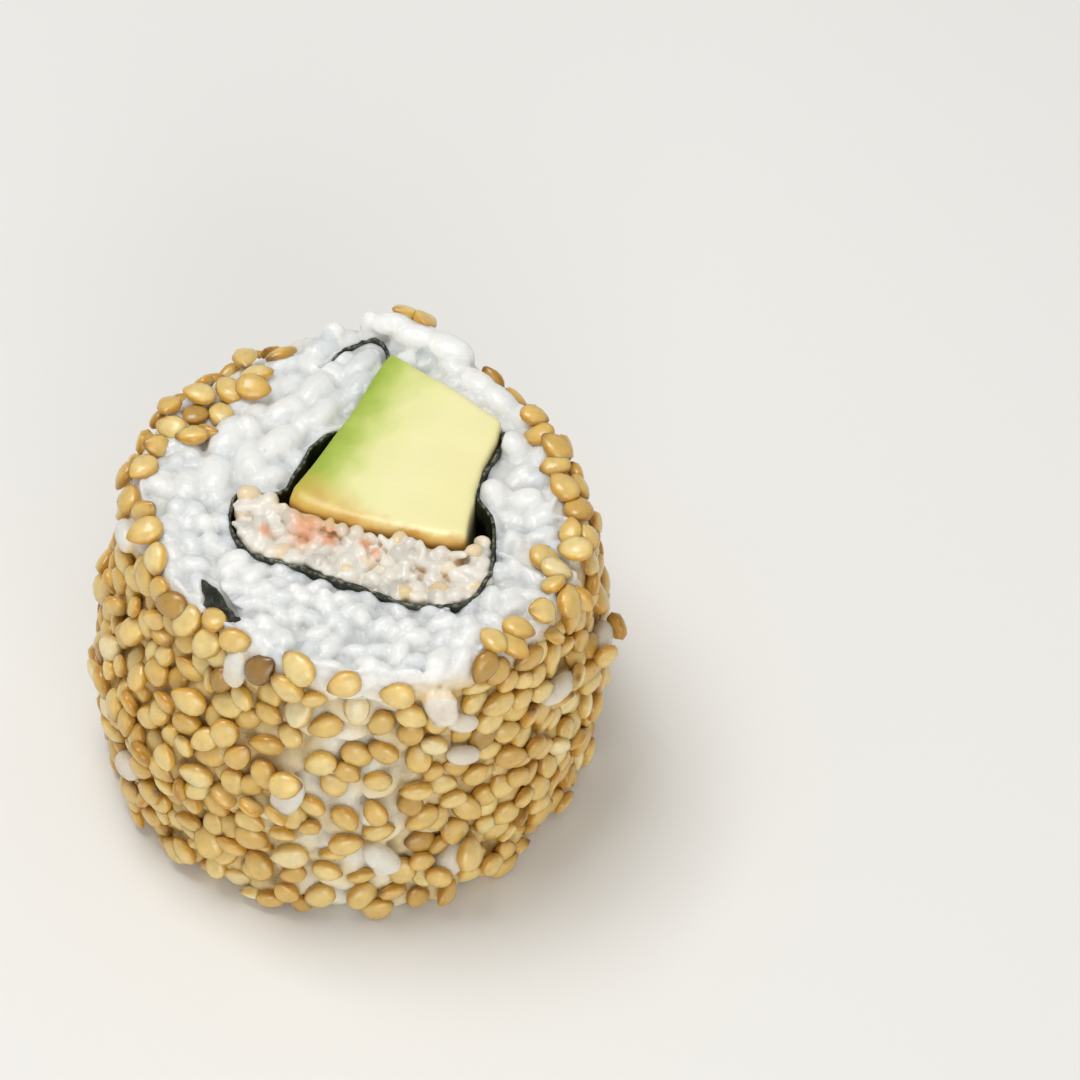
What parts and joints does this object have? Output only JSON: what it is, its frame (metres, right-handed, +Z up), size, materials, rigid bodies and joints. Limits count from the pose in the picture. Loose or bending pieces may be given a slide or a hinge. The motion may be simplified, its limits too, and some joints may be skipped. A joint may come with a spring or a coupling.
{
  "type": "uramaki roll",
  "caption": "Cut piece of an inside-out sushi roll: sesame-coated rice round nori, avocado and crab mix, standing on a cut face.",
  "frame": {"origin": "middle of the base, on the table, below the centre of the bounding box", "axes": "+Z up along the roll's axis, from the lower cut face to the upper one; -Y is the front of the piece, and +X its right side"},
  "size_m": [0.0448, 0.0436, 0.032],
  "materials": {
    "cooked_rice": "moist cooked white rice, slightly glossy",
    "nori": "dark green-black seaweed sheet, crinkled, satin",
    "avocado_flesh": "moist cut avocado, green at the skin side and pale yellow inside",
    "crab_mix": "moist white and pink flaked crab mix"
  },
  "bodies": {
    "root": {"rice": "cooked_rice", "nori": "nori", "nori_flap": "nori", "avocado": "avocado_flesh", "crab_mix": "crab_mix"}
  },
  "joints": []
}
